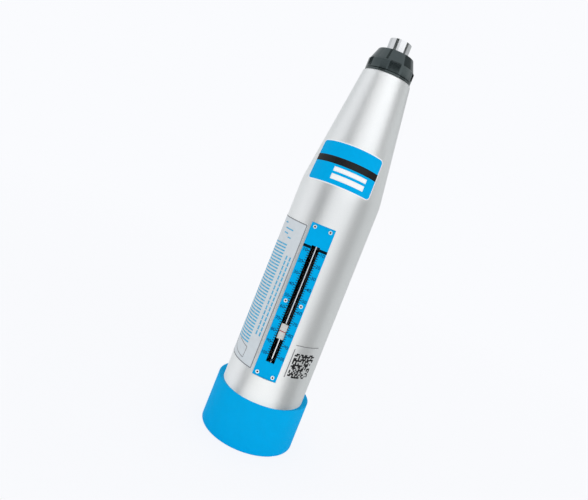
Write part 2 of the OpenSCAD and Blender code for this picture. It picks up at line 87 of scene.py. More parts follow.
# Scale: reading 0 and 100 along the barrel, and the plate's face
plate_low, plate_high = box_mm("scale_plate")
rider_low, rider_high = box_mm("rider")
stroke = 75.0
rider_reading = 80.0
zero_z = (rider_low[2] + rider_high[2]) / 2 + stroke * rider_reading / 100
plate_face_y = plate_low[1]
plate_half_w = plate_high[0]
plate_slot_half_w = 2.75

# Camera, fitted to the photograph's frame of 588 by 500 pixels
image_w = 588
image_h = 500
focal_px = 520.17
centre_px = (336.61, 199.62)
camera_place = Vector((24.55, -340.70, 166.33))
camera_right = Vector((0.92552, 0.07409, 0.37139))
camera_down = Vector((0.37124, 0.01630, -0.92839))
camera_forward = Vector((-0.07484, 0.99712, -0.01242))
sensor_w = 36.0

# Colours, linear
backdrop = (0.956, 0.965, 0.991)
ink_black = (0.008, 0.009, 0.010)
blue = (0.0, 0.40, 0.80)

# Points along a rounded corner and along the chart's curve
corner_points = 7
curve_points = 20


# Meshes

def grid_faces(rows, columns, closed=False):
    """Quads of a grid of points stored row after row; closed joins the last column to the first."""
    at = np.arange(rows * columns).reshape(rows, columns)
    if closed:
        at = np.concatenate([at, at[:, :1]], axis=1)
    return np.stack([at[:-1, :-1], at[:-1, 1:], at[1:, 1:], at[1:, :-1]], axis=-1).reshape(-1, 4)


def put_mesh(name, points, faces, material):
    """A mesh object at the origin from points in millimetres and faces, an array of them or a list."""
    mesh = bpy.data.meshes.new(name)
    corners = faces.tolist() if isinstance(faces, np.ndarray) else faces
    mesh.from_pydata((np.asarray(points).reshape(-1, 3) * MM).tolist(), [], corners)
    mesh.polygons.foreach_set("use_smooth", np.ones(len(mesh.polygons), bool))
    mesh.materials.append(material)
    mesh.update()
    piece = bpy.data.objects.new(name, mesh)
    bpy.context.scene.collection.objects.link(piece)
    return piece


def film(name, points, faces, material, thickness, body, slot):
    """A thin printed or stuck-on piece: a surface given its thickness inwards, riding on a body."""
    piece = put_mesh(name, points, faces, material)
    shell = piece.modifiers.new("thickness", "SOLIDIFY")
    shell.thickness = thickness * MM
    shell.offset = -1
    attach(piece, body)


def joined(parts):
    """Several (points, faces) pairs as one."""
    points, faces, start = [], [], 0
    for some_points, some_faces in parts:
        points.append(np.asarray(some_points).reshape(-1, 3))
        faces.append(np.asarray(some_faces) + start)
        start += len(points[-1])
    return np.concatenate(points), np.concatenate(faces)


# Surfaces that the print lies on

def barrel_radius(z):
    """Barrel's radius at a height: straight, then a circular bend, then a straight taper."""
    low = cone_z - bend_reach
    high = cone_z + bend_reach * math.cos(cone_half)
    arc = barrel_r - bend_r + np.sqrt(bend_r ** 2 - np.clip(z - low, 0, high - low) ** 2)
    taper = nose_r + (nose_z - z) * math.tan(cone_half)
    return np.where(z < low, barrel_r, np.where(z < high, arc, taper))


def on_barrel(angle, z, lift):
    """Points above the barrel's skin from angles in radians and heights."""
    r = barrel_radius(z) + lift
    return np.stack([r * np.sin(angle), -r * np.cos(angle), z], axis=-1)


def cylinder_wrap(x, y, lift):
    """A flat sheet rolled round the straight barrel: x runs along the girth from the scale's middle and
    y is the height."""
    return on_barrel(x / barrel_r, y, lift)


# Name label: a flat sheet rolled on the cone
label_w = 46.4
label_h = 27.6
label_turn = math.radians(-4.8)
label_top_z = 197.0
cone_apex_z = nose_z + nose_r / math.tan(cone_half)
label_top_slant = (cone_apex_z - label_top_z) / math.cos(cone_half)


def cone_wrap(x, y, lift):
    """A flat sheet rolled on the cone: its points keep their distance from the cone's apex, and angles
    about the apex grow by one over the sine of the cone's half angle. y is measured up from the foot."""
    down = label_top_slant + label_h - y
    slant = np.hypot(x, down)
    angle = label_turn + np.arctan2(x, down) / math.sin(cone_half)
    return on_barrel(angle, cone_apex_z - slant * math.cos(cone_half), lift)


def plate_wrap(x, y, lift):
    """The scale plate's flat face: x across, y the height."""
    return np.stack([x, np.full_like(x, plate_face_y) - lift, y], axis=-1)


def patch(wrap, x0, x1, y0, y1, lift, corner=0.0, step=0.8):
    """A rectangle with rounded corners on a wrap: rows run up it, each drawn in by the corner's arc."""
    rows = max(2, int((y1 - y0 - 2 * corner) / step) + 1)
    y = np.linspace(y0 + corner, y1 - corner, rows)
    inset = np.zeros(rows)
    if corner:
        turn = np.linspace(0, np.pi / 2, corner_points)[:-1]
        rise = corner * (1 - np.cos(turn))
        draw = corner * (1 - np.sin(turn))
        y = np.concatenate([y0 + rise, y, (y1 - rise)[::-1]])
        inset = np.concatenate([draw, inset, draw[::-1]])
    columns = max(2, int((x1 - x0) / step) + 1)
    across = np.linspace(0, 1, columns)
    x = (x0 + inset)[:, None] + ((x1 - x0) - 2 * inset)[:, None] * across
    height = np.repeat(y[:, None], columns, axis=1)
    return wrap(x, height, lift), grid_faces(len(y), columns)


def ribbon(wrap, path, width, lift, closed=False):
    """A line of even width along a path of flat points, carried sideways along the path's own normals."""
    path = np.asarray(path, float)
    if closed:
        ahead = np.roll(path, -1, axis=0) - np.roll(path, 1, axis=0)
    else:
        ahead = np.gradient(path, axis=0)
    ahead /= np.linalg.norm(ahead, axis=1)[:, None]
    side = np.stack([-ahead[:, 1], ahead[:, 0]], axis=1) * width / 2
    edges = np.stack([path - side, path + side])
    points = wrap(edges[..., 0], edges[..., 1], lift)
    return points, grid_faces(2, len(path), closed)


def rounded_outline(x0, x1, y0, y1, corner, step=1.0):
    """Points round a rectangle with rounded corners, counter-clockwise."""
    turn = np.linspace(0, np.pi / 2, corner_points)
    arcs = []
    for number, (cx, cy) in enumerate(((x1 - corner, y1 - corner), (x0 + corner, y1 - corner),
                                       (x0 + corner, y0 + corner), (x1 - corner, y0 + corner))):
        a = turn + number * np.pi / 2
        arcs.append(np.stack([cx + corner * np.cos(a), cy + corner * np.sin(a)], axis=1))
    loop = []
    for number, arc in enumerate(arcs):
        after = arcs[(number + 1) % 4][0]
        count = max(2, int(np.linalg.norm(after - arc[-1]) / step))
        share = np.linspace(0, 1, count, endpoint=False)[1:, None]
        loop += [arc, arc[-1] + (after - arc[-1]) * share]
    return np.concatenate(loop)


# Places that the finishes mark: painted shade in the bore, screws' recesses and rider's end faces; a painted
# highlight on the rim at the cap's foot
bore_shade_r = 24.4
screw_x = 5.05
screw_zs = (47.3, 94.0, 142.3)
screw_shade_r = 0.6
end_shade_band = 0.03
cap_highlight_low = 0.45
cap_highlight_high = 1.45

# Range that most values of a noise lie in
noise_range = (0.3, 0.7)


# Materials

def node_material(name):
    """An empty node material: returns it, its node tree, its shader and its Object coordinates."""
    material = bpy.data.materials.new(name)
    material.use_nodes = True
    tree = material.node_tree
    shader = tree.nodes["Principled BSDF"]
    coords = tree.nodes.new("ShaderNodeTexCoord")
    return material, tree, shader, coords.outputs["Object"]


def noise(tree, coords, grain, detail=3.0, stretch=(1, 1, 1)):
    """Noise of a grain given in millimetres, optionally drawn out along an axis."""
    mapping = tree.nodes.new("ShaderNodeMapping")
    mapping.inputs["Scale"].default_value = [s / (grain * MM) for s in stretch]
    texture = tree.nodes.new("ShaderNodeTexNoise")
    texture.inputs["Scale"].default_value = 1.0
    texture.inputs["Detail"].default_value = detail
    tree.links.new(coords, mapping.inputs["Vector"])
    tree.links.new(mapping.outputs["Vector"], texture.inputs["Vector"])
    return texture.outputs["Fac"]


def map_range(tree, value, low, high, new_low, new_high):
    """A value moved from one range to another."""
    node = tree.nodes.new("ShaderNodeMapRange")
    node.inputs["From Min"].default_value = low
    node.inputs["From Max"].default_value = high
    node.inputs["To Min"].default_value = new_low
    node.inputs["To Max"].default_value = new_high
    tree.links.new(value, node.inputs["Value"])
    return node.outputs["Result"]


def spread(tree, value, low, high):
    """A noise spread from its usual range over another."""
    return map_range(tree, value, *noise_range, low, high)


def ramp(tree, value, low, high):
    """A noise turned into a colour between two, over its usual range."""
    node = tree.nodes.new("ShaderNodeValToRGB")
    for element, position, colour in zip(node.color_ramp.elements, noise_range, (low, high)):
        element.position = position
        element.color = (*colour, 1)
    tree.links.new(value, node.inputs["Fac"])
    return node.outputs["Color"]


def bump(tree, shader, value, height):
    """Fine relief of a height in millimetres."""
    node = tree.nodes.new("ShaderNodeBump")
    node.inputs["Strength"].default_value = 1.0
    node.inputs["Distance"].default_value = height * MM
    tree.links.new(value, node.inputs["Height"])
    tree.links.new(node.outputs["Normal"], shader.inputs["Normal"])


def math_node(tree, operation, first, second):
    """A math node on an output and a number, or on two outputs."""
    node = tree.nodes.new("ShaderNodeMath")
    node.operation = operation
    tree.links.new(first, node.inputs[0])
    if isinstance(second, (int, float)):
        node.inputs[1].default_value = second
    else:
        tree.links.new(second, node.inputs[1])
    return node.outputs["Value"]


def vector_math(tree, operation, first, second=None):
    """Outputs of a vector math node on an output and, where it takes one, a constant vector."""
    node = tree.nodes.new("ShaderNodeVectorMath")
    node.operation = operation
    tree.links.new(first, node.inputs[0])
    if second:
        node.inputs[1].default_value = second
    return node.outputs


def split(tree, vector):
    """Outputs X, Y and Z of a vector."""
    node = tree.nodes.new("ShaderNodeSeparateXYZ")
    tree.links.new(vector, node.inputs["Vector"])
    return node.outputs


def mixed(tree, share, colours, other):
    """A colour output, with another colour in its place where a share is 1."""
    mix = tree.nodes.new("ShaderNodeMix")
    mix.data_type = "RGBA"
    mix.inputs["B"].default_value = (*other, 1)
    tree.links.new(share, mix.inputs["Factor"])
    tree.links.new(colours, mix.inputs["A"])
    return mix.outputs["Result"]


def tint(colour, factor):
    """A colour made lighter or darker."""
    return tuple(min(1.0, c * factor) for c in colour)


def finish(name, colour, rough, grain, variation=0.06, rough_spread=0.05, relief=0.0, relief_grain=0.2,
           stretch=(1, 1, 1), **sockets):
    """A finish whose colour and roughness drift a little on a noise, with fine relief. Grains and relief
    are in millimetres, and other constants go on the shader's sockets of their names."""
    material, tree, shader, coords = node_material(name)
    cloud = noise(tree, coords, grain, stretch=stretch)
    colours = ramp(tree, cloud, tint(colour, 1 - variation), tint(colour, 1 + variation))
    tree.links.new(colours, shader.inputs["Base Color"])
    roughness = spread(tree, cloud, rough - rough_spread, rough + rough_spread)
    tree.links.new(roughness, shader.inputs["Roughness"])
    if relief:
        bump(tree, shader, noise(tree, coords, relief_grain, stretch=stretch), relief)
    for socket, value in sockets.items():
        shader.inputs[socket.replace("_", " ")].default_value = value
    return material


def barrel_finish():
    """Satin anodised aluminium with a sandblasted grain; the bore and the slot's walls carry painted shade,
    near-black.
    """
    material, tree, shader, coords = node_material("satin_aluminium")
    grain = noise(tree, coords, 0.35, detail=2.0)
    metal = ramp(tree, grain, (0.825, 0.84, 0.84), (0.875, 0.89, 0.885))
    flat = vector_math(tree, "MULTIPLY", coords, (1, 1, 0))["Vector"]
    radius = vector_math(tree, "LENGTH", flat)["Value"]
    # Painted shade: inside the bore and below the cone the colour is near-black, for the shade there.
    inside = math_node(tree, "LESS_THAN", radius, bore_shade_r * MM)
    below_cone = math_node(tree, "LESS_THAN", split(tree, coords)["Z"], (cone_z - bend_reach) * MM)
    bore_shade = math_node(tree, "MULTIPLY", inside, below_cone)
    tree.links.new(mixed(tree, bore_shade, metal, (0.012, 0.012, 0.013)), shader.inputs["Base Color"])
    tree.links.new(spread(tree, grain, 0.38, 0.46), shader.inputs["Roughness"])
    bump(tree, shader, noise(tree, coords, 0.25, detail=1.0), 0.004)
    shader.inputs["Metallic"].default_value = 0.85
    return material


def cap_finish():
    """Glossy black enamel with a painted highlight: a little paler on the rim at the cap's foot, which a
    band of heights marks.
    """
    material, tree, shader, coords = node_material("black_enamel")
    cloud = noise(tree, coords, 2.5)
    enamel = ramp(tree, cloud, (0.006, 0.009, 0.010), (0.012, 0.017, 0.018))
    height = split(tree, coords)["Z"]
    # Painted highlight: a paler band on the rim at the cap's foot, for the light that the rim reflects.
    above = math_node(tree, "GREATER_THAN", height, (nose_z + cap_highlight_low) * MM)
    below = math_node(tree, "LESS_THAN", height, (nose_z + cap_highlight_high) * MM)
    rim_highlight = math_node(tree, "MULTIPLY", above, below)
    tree.links.new(mixed(tree, rim_highlight, enamel, (0.017, 0.021, 0.021)), shader.inputs["Base Color"])
    tree.links.new(spread(tree, cloud, 0.065, 0.075), shader.inputs["Roughness"])
    shader.inputs["Specular IOR Level"].default_value = 1.0
    shader.inputs["Specular Tint"].default_value = (0.78, 0.95, 0.96, 1)
    return material


def rider_finish():
    """Ivory plastic with a fine grain; its two end faces, marked by their heights, carry painted shade and
    are near-black.
    """
    material, tree, shader, coords = node_material("ivory_plastic")
    cloud = noise(tree, coords, 1.5)
    ivory = ramp(tree, cloud, (0.90, 0.86, 0.79), (0.97, 0.93, 0.86))
    height = split(tree, coords)["Z"]
    # Painted shade: both end faces of the rider are near-black.
    top = math_node(tree, "GREATER_THAN", height, (rider_high[2] - end_shade_band) * MM)
    foot = math_node(tree, "LESS_THAN", height, (rider_low[2] + end_shade_band) * MM)
    ends = math_node(tree, "MAXIMUM", top, foot)
    tree.links.new(mixed(tree, ends, ivory, (0.03, 0.03, 0.03)), shader.inputs["Base Color"])
    tree.links.new(spread(tree, cloud, 0.36, 0.46), shader.inputs["Roughness"])
    bump(tree, shader, noise(tree, coords, 0.2), 0.003)
    return material


def screw_finish():
    """Bright screw heads whose drive recesses carry painted shade, dark brown: the distance to the nearest
    screw's axis, with the two rows folded on to one by the absolute value of x, marks the recess."""
    material, tree, shader, coords = node_material("screw_steel")
    place = split(tree, coords)
    folded = tree.nodes.new("ShaderNodeCombineXYZ")
    tree.links.new(math_node(tree, "ABSOLUTE", place["X"], 0.0), folded.inputs["X"])
    tree.links.new(place["Z"], folded.inputs["Z"])
    nearest = None
    for z in screw_zs:
        axis = (screw_x * MM, 0, z * MM)
        distance = vector_math(tree, "DISTANCE", folded.outputs["Vector"], axis)["Value"]
        nearest = distance if nearest is None else math_node(tree, "MINIMUM", nearest, distance)
    # Painted shade: the drive recesses are dark brown.
    recess_shade = math_node(tree, "LESS_THAN", nearest, screw_shade_r * MM)
    steel = ramp(tree, noise(tree, coords, 0.4), (0.82, 0.82, 0.82), (0.92, 0.92, 0.92))
    tree.links.new(mixed(tree, recess_shade, steel, (0.07, 0.028, 0.022)), shader.inputs["Base Color"])
    shader.inputs["Metallic"].default_value = 1.0
    shader.inputs["Roughness"].default_value = 0.28
    return material


satin_aluminium = barrel_finish()
screw_steel = screw_finish()
turned_aluminium = finish("turned_aluminium", (0.62, 0.63, 0.64), 0.3, 1.2, relief=0.004,
                          stretch=(0.2, 0.2, 3), Metallic=1.0)
black_enamel = cap_finish()
blue_rubber = finish("blue_rubber", blue, 0.6, 6.0, variation=0.02, relief=0.006, relief_grain=0.4,
                     Specular_IOR_Level=0.02)
blue_enamel = finish("blue_enamel", blue, 0.45, 4.0, variation=0.03, relief=0.002, Specular_IOR_Level=0.015)
clear_acrylic = finish("clear_acrylic", (0.04, 0.045, 0.05), 0.06, 5.0, rough_spread=0.02, Alpha=0.03)
ivory_plastic = rider_finish()
polished_steel = finish("polished_steel", (0.66, 0.67, 0.68), 0.09, 1.0, variation=0.02, rough_spread=0.03,
                        stretch=(0.3, 0.3, 4), Metallic=1.0)
rod_steel = finish("rod_steel", (0.93, 0.93, 0.92), 0.14, 1.0, variation=0.02, rough_spread=0.03,
                   Metallic=1.0)
near_black_steel = finish("near_black_steel", (0.05, 0.05, 0.052), 0.4, 0.9, variation=0.15, stretch=(0.2, 0.2, 4),
                     Metallic=0.6)
turned_steel = finish("turned_steel", (0.46, 0.47, 0.49), 0.28, 0.9, relief=0.004,
                      stretch=(0.2, 0.2, 4), Metallic=1.0)
spring_steel = finish("spring_steel", (0.34, 0.36, 0.39), 0.35, 0.8, variation=0.12, Metallic=1.0)
black_steel = finish("black_steel", (0.012, 0.012, 0.013), 0.5, 1.0, variation=0.2, Specular_IOR_Level=0.3)
wool_felt = finish("wool_felt", (0.55, 0.51, 0.44), 0.95, 0.3, variation=0.2, relief=0.08, Sheen_Weight=0.3)
name_blue = finish("name_blue", blue, 0.45, 3.0, variation=0.03, Specular_IOR_Level=0.015)
print_black = finish("print_black", ink_black, 0.4, 1.0, variation=0.2, Specular_IOR_Level=0.2)
print_bar = finish("print_bar", (0.001, 0.010, 0.018), 0.4, 1.0, variation=0.2, Specular_IOR_Level=0.03)
print_navy = finish("print_navy", (0.0, 0.045, 0.14), 0.4, 1.0, variation=0.2, Specular_IOR_Level=0.1)
print_white = finish("print_white", (0.94, 0.94, 0.95), 0.4, 2.0, variation=0.02, Specular_IOR_Level=0.2)
print_blue = finish("print_blue", (0.10, 0.45, 0.70), 0.4, 1.0, variation=0.15, Specular_IOR_Level=0.1)
print_grey = finish("print_grey", (0.20, 0.20, 0.21), 0.4, 1.0, variation=0.15, Specular_IOR_Level=0.2)
print_red = finish("print_red", (0.55, 0.03, 0.05), 0.4, 1.0, variation=0.15, Specular_IOR_Level=0.2)
chart_paper = finish("chart_paper", (0.635, 0.685, 0.72), 0.45, 3.0, variation=0.03, Specular_IOR_Level=0.3)

finishes = {
    "barrel_aluminium": satin_aluminium,
    "cover_aluminium": turned_aluminium,
    "black_cap": black_enamel,
    "blue_rubber": blue_rubber,
    "blue_plate": blue_enamel,
    "clear_window": clear_acrylic,
    "rider_plastic": ivory_plastic,
    "bright_steel": polished_steel,
    "turned_steel": turned_steel,
    "spring_steel": spring_steel,
    "black_steel": black_steel,
    "felt": wool_felt,
}
nodes = frame["nodes"]
for subpart in frame["record"]["subparts"]:
    node = nodes[subpart["node"]]
    node.data.materials.clear()
    node.data.materials.append(finishes[subpart["material_slot"]])
nodes["scale_screws"].data.materials[0] = screw_steel
nodes["pointer_rod"].data.materials[0] = rod_steel
# The guide bar and the hammer mass, which the slot shows, are near-black steel.
nodes["guide_bar"].data.materials[0] = near_black_steel
nodes["hammer_mass"].data.materials[0] = near_black_steel

# Springs that change length on the real hammer, drawn in place of the solids: mean radius, diameter and
# turns of each round wire
impact_wire = (13.5, 2.2, 15)
return_wire = (15.0, 1.4, 10)
cushion_wire = (4.0, 1.2, 4)
button_wire = (3.4, 0.45, 3)


def coil(mean_r, wire_d, turns, low, high, rings=24, sides=12):
    """A spring about Z between two heights: a round wire carried along a helix that climbs evenly with its
    angle, on the helix's own outward and upward directions, with a flat face at each end."""
    climb = (high - low - wire_d) / (2 * np.pi * turns)
    angle = np.linspace(0, 2 * np.pi * turns, int(turns * rings) + 1)[:, None]
    outward = np.concatenate([np.cos(angle), np.sin(angle), 0 * angle], axis=1)
    along = np.concatenate([-mean_r * np.sin(angle), mean_r * np.cos(angle), 0 * angle + climb], axis=1)
    upward = np.cross(outward, along / np.linalg.norm(along, axis=1)[:, None])
    centre = mean_r * outward
    centre[:, 2:] += low + wire_d / 2 + climb * angle
    turn = np.linspace(0, -2 * np.pi, sides, endpoint=False)[:, None]
    round_wire = outward[:, None] * np.cos(turn) + upward[:, None] * np.sin(turn)
    points = centre[:, None] + round_wire * wire_d / 2
    count = len(angle) * sides
    ends = [list(range(sides))[::-1], list(range(count - sides, count))]
    return points.reshape(-1, 3), grid_faces(len(angle), sides, closed=True).tolist() + ends


def spring_piece(name, node, points, faces):
    """A spring's mesh with its finish, standing for the solid of the same spring."""
    piece = put_mesh(name, points, faces, spring_steel)
    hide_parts(node)
    return piece


impact_low, impact_high = (corner[2] for corner in box_mm("impact_spring"))
impact_coil = spring_piece("impact_coil", "impact_spring", *coil(*impact_wire, impact_low, impact_high))
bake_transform(impact_coil)

return_low, return_high = (corner[2] for corner in box_mm("compression_spring"))
return_coil = spring_piece("compression_coil", "compression_spring",
                           *coil(*return_wire, return_low, return_high))
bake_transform(return_coil)

cushion_low, cushion_high = (corner[2] for corner in box_mm("buffer_spring"))
cushion_coil = spring_piece("buffer_coil", "buffer_spring", *coil(*cushion_wire, cushion_low, cushion_high))
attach(cushion_coil, "carriage")
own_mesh(cushion_coil)

button_low, button_high = box_mm("button_spring")
button_z = (button_low[2] + button_high[2]) / 2
upright_coil, button_faces = coil(*button_wire, button_low[1], button_high[1])
lying_coil = np.stack([upright_coil[:, 0], upright_coil[:, 2], button_z - upright_coil[:, 1]], axis=1)
button_coil = spring_piece("button_coil", "button_spring", lying_coil, button_faces)
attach(button_coil, "housing")
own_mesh(button_coil)

# Labels and print: how far a label and the print on it stand off the skin, and the print's thickness
label_lift = 0.12
ink_lift = 0.15
ink_t = 0.03


def girth(degrees):
    """Length round the barrel of an angle."""
    return math.radians(degrees) * barrel_r


def line(start, end, width, step=0.8):
    """A straight printed line on the barrel between two places, each an angle in degrees and a height."""
    (x0, y0), (x1, y1) = ((girth(turn), z) for turn, z in (start, end))
    count = max(2, int(math.hypot(x1 - x0, y1 - y0) / step))
    path = np.stack([np.linspace(x0, x1, count), np.linspace(y0, y1, count)], axis=1)
    return ribbon(cylinder_wrap, path, width, ink_lift)


# Name label on the cone: blue sheet with a pale rim, a black band and two bare white fields
label_half = label_w / 2
label_corner = 2.6
rim_w = 0.6
band_shares = (0.475, 0.64)
field_x_shares = (0.375, 0.85)
field_y_shares = ((0.315, 0.42), (0.13, 0.255))
film("name_label_rim", *patch(cone_wrap, -label_half, label_half, 0, label_h, label_lift, label_corner),
     print_white, label_lift, "housing", "blue_plate")
film("name_label", *patch(cone_wrap, -label_half + rim_w, label_half - rim_w, rim_w, label_h - rim_w,
                          ink_lift, label_corner - rim_w),
     name_blue, ink_t, "housing", "blue_plate")
film("name_label_band", *patch(cone_wrap, -label_half + rim_w, label_half - rim_w, band_shares[0] * label_h,
                               band_shares[1] * label_h, ink_lift + ink_t),
     print_black, ink_t, "housing", "blue_plate")
fields = [patch(cone_wrap, (field_x_shares[0] - 0.5) * label_w, (field_x_shares[1] - 0.5) * label_w,
                low * label_h, high * label_h, ink_lift + ink_t)
          for low, high in field_y_shares]
film("name_label_fields", *joined(fields), print_white, ink_t, "housing", "blue_plate")

# Chart label on the barrel's left: pale sheet with a dark border
chart_x0 = girth(-115)
chart_x1 = girth(-20.5)
chart_z0 = 46.8
chart_z1 = 141.5
chart_corner = 0.6
border_w = 0.55
border_in = 0.45
film("chart_label", *patch(cylinder_wrap, chart_x0, chart_x1, chart_z0, chart_z1, label_lift, chart_corner),
     chart_paper, label_lift, "housing", "barrel_aluminium")
border = rounded_outline(chart_x0 + border_in, chart_x1 - border_in, chart_z0 + border_in,
                         chart_z1 - border_in, chart_corner - border_in / 2)
film("chart_border", *ribbon(cylinder_wrap, border, border_w, ink_lift, closed=True),
     print_grey, ink_t, "housing", "barrel_aluminium")

# Print on the chart, in degrees and heights: heading, rising rows, two columns and a small curve
row_pitch = 1.97
row_low = 59.71
row_high = 126.3
row_w = 0.95
row_rise = 0.067
row_spans = ((-110, -95.2), (-94.4, -79.8), (-79, -63.3), (-62.5, -51.5), (-50.7, -40.4))
row_end = row_spans[-1][1]
column_turns = (-32.8, -26.7)
column_low = 66.8
column_high = 118.8
column_dash = 2.6
column_gap = 0.7
column_w = 1.1
heading_w = 0.8
heading_marks = ((137.6, -65, -57), (134.4, -57, -39), (131.4, -57, -47), (129.4, -45, -38.6))
curve_w = 0.4
curve_start = (-77, 57.5)
curve_end = (-40, 49.8)
axis_corner = (-39, 56.8)
axis_end = (-61, 58.2)


def row_place(turn, z):
    """Place of a point on a row, whose height is given at the rows' right end."""
    return turn, z + row_rise * girth(turn - row_end)


rows = [line(row_place(a, z), row_place(b, z), row_w)
        for z in np.arange(row_low, row_high, row_pitch) for a, b in row_spans]
dashes = [line((turn, z), (turn, z + column_dash), column_w)
          for turn in column_turns for z in np.arange(column_low, column_high, column_dash + column_gap)]
film("chart_rows", *joined(rows + dashes), print_blue, ink_t, "housing", "barrel_aluminium")
heading = [line((a, z), (b, z), heading_w) for z, a, b in heading_marks]
film("chart_heading", *joined(heading), print_blue, ink_t, "housing", "barrel_aluminium")
curve_turn = np.linspace(0, np.pi / 2, curve_points)
curve_x = girth(curve_start[0]) + girth(curve_end[0] - curve_start[0]) * (1 - np.cos(curve_turn))
curve_z = curve_start[1] + (curve_end[1] - curve_start[1]) * np.sin(curve_turn)
curve = ribbon(cylinder_wrap, np.stack([curve_x, curve_z], axis=1), curve_w, ink_lift)
axes = [line(curve_end, axis_corner, curve_w), line(axis_corner, axis_end, curve_w)]
film("chart_curve", *joined([curve] + axes), print_grey, ink_t, "housing", "barrel_aluminium")

# Bare barrel on the right: a fine rule, a fine upright line and a block of plain squares
mark_lift = 0.05
rule_z = 70.9
rule_turns = (24, 62.5)
rule_w = 0.35
side_line_turn = 24.4
side_line_zs = (50.0, 68.3)
side_line_w = 0.5
block_turn = 27.4
block_side = 15.8
block_z = 50.2
block_cells = 16
block_seed = 5
block_fill = 0.5
rule = line((rule_turns[0], rule_z), (rule_turns[1], rule_z), rule_w)
side_line = line((side_line_turn, side_line_zs[0]), (side_line_turn, side_line_zs[1]), side_line_w)
film("barrel_rules", *joined([rule, side_line]), print_grey, ink_lift, "housing", "barrel_aluminium")
cell = block_side / block_cells
filled = np.argwhere(np.random.default_rng(block_seed).random((block_cells, block_cells)) < block_fill)
squares = [patch(cylinder_wrap, girth(block_turn) + c * cell, girth(block_turn) + (c + 1) * cell,
                 block_z + r * cell, block_z + (r + 1) * cell, mark_lift) for r, c in filled]
film("barrel_squares", *joined(squares), print_black, mark_lift, "housing", "barrel_aluminium")

# Scale print on the plate: short lines beside the slot, a number at every ten, a bar at the slot's end
tick_lift = 0.03
tick_w = 0.5
tick_reach = 1.1
ten_reach = 1.5
number_x = 5.7
number_h = 2.2
text_per_digit = 1.35
number_bold = 0.03
long_number_squeeze = 0.8
bar_z = 129.7
bar_w = 1.75
lined = range(10, 101, 2)
numbered = range(10, 101, 10)


def reading_z(reading):
    """Height of a scale reading."""
    return zero_z - stroke * reading / 100


def tick(reading, side):
    """One scale line, from the slot's edge outwards."""
    reach = ten_reach if reading in numbered else tick_reach
    ends = sorted((side * plate_slot_half_w, side * (plate_slot_half_w + reach)))
    z = reading_z(reading)
    return patch(plate_wrap, *ends, z - tick_w / 2, z + tick_w / 2, tick_lift)


def number(reading, side):
    """A number as triangles on the plate, from a text made a mesh: centred beside its line."""
    text = bpy.data.curves.new("number", "FONT")
    text.body = str(reading)
    text.align_x = "CENTER"
    text.align_y = "CENTER"
    text.size = number_h * text_per_digit
    text.offset = number_bold
    writing = bpy.data.objects.new("number", text)
    bpy.context.scene.collection.objects.link(writing)
    bpy.context.view_layer.update()
    mesh = bpy.data.meshes.new_from_object(writing.evaluated_get(bpy.context.evaluated_depsgraph_get()))
    bpy.data.objects.remove(writing)
    mesh.calc_loop_triangles()
    flat = np.empty(len(mesh.vertices) * 3)
    mesh.vertices.foreach_get("co", flat)
    flat = flat.reshape(-1, 3)
    faces = np.empty(len(mesh.loop_triangles) * 3, int)
    mesh.loop_triangles.foreach_get("vertices", faces)
    bpy.data.meshes.remove(mesh)
    squeeze = long_number_squeeze if reading >= 100 else 1.0
    points = plate_wrap(flat[:, 0] * squeeze + side * number_x, flat[:, 1] + reading_z(reading), tick_lift)
    return points, faces.reshape(-1, 3)


ticks = [tick(reading, side) for reading in lined for side in (-1, 1)]
film("scale_lines", *joined(ticks), print_black, tick_lift, "housing", "blue_plate")
numbers = [number(reading, side) for reading in numbered for side in (-1, 1)]
film("scale_numbers", *joined(numbers), print_navy, tick_lift, "housing", "blue_plate")
bars = [patch(plate_wrap, *ends, bar_z - bar_w / 2, bar_z + bar_w / 2, tick_lift)
        for ends in ((-plate_half_w, -plate_slot_half_w), (plate_slot_half_w, plate_half_w))]
film("scale_bar", *joined(bars), print_bar, tick_lift, "housing", "blue_plate")


def rider_wrap(x, y, lift):
    """The rider's flat face under the window."""
    return np.stack([x, np.full_like(x, rider_low[1]) - lift, y], axis=-1)


red_w = 0.5
red_line = patch(rider_wrap, rider_low[0], rider_high[0], reading_z(rider_reading) - red_w / 2,
                 reading_z(rider_reading) + red_w / 2, tick_lift)
film("rider_line", *red_line, print_red, tick_lift, "rider", "rider_plastic")


# Light and camera
light_target = Vector((0, 0, 0.14))


def area_light(name, angle, elevation, distance, width, height, radiance):
    """A soft box aimed at the barrel's middle from an angle round it, with lengths in metres. Its power
    gives the wanted radiance."""
    data = bpy.data.lights.new(name, "AREA")
    data.shape = "RECTANGLE"
    data.size = width
    data.size_y = height
    data.energy = radiance * math.pi * width * height
    lamp = bpy.data.objects.new(name, data)
    turn = math.radians(angle)
    rise = math.radians(elevation)
    away = Vector((math.sin(turn) * math.cos(rise), -math.cos(turn) * math.cos(rise), math.sin(rise)))
    lamp.location = light_target + away * distance
    lamp.rotation_euler = away.to_track_quat("Z", "Y").to_euler()
    lamp.visible_camera = False
    bpy.context.scene.collection.objects.link(lamp)


area_light("key_box", angle=32, elevation=20, distance=1.3, width=1.4, height=1.6, radiance=0.42)
area_light("fill_box", angle=-150, elevation=25, distance=1.4, width=1.2, height=1.2, radiance=0.1)


def seen_rays(tree):
    """A value of 1 for camera, glossy and transmission rays, which see the plain backdrop."""
    path = tree.nodes.new("ShaderNodeLightPath")
    either = math_node(tree, "MAXIMUM", path.outputs["Is Camera Ray"], path.outputs["Is Glossy Ray"])
    return math_node(tree, "MAXIMUM", either, path.outputs["Is Transmission Ray"])


def studio_world(ambient):
    """Even ambient light on matt surfaces, and the pale backdrop for rays that see it."""
    world = bpy.data.worlds.new("studio")
    bpy.context.scene.world = world
    world.use_nodes = True
    tree = world.node_tree
    background = tree.nodes["Background"]
    mix = tree.nodes.new("ShaderNodeMix")
    mix.data_type = "RGBA"
    mix.inputs["A"].default_value = (ambient, ambient, ambient, 1)
    mix.inputs["B"].default_value = (*backdrop, 1)
    tree.links.new(seen_rays(tree), mix.inputs["Factor"])
    tree.links.new(mix.outputs["Result"], background.inputs["Color"])


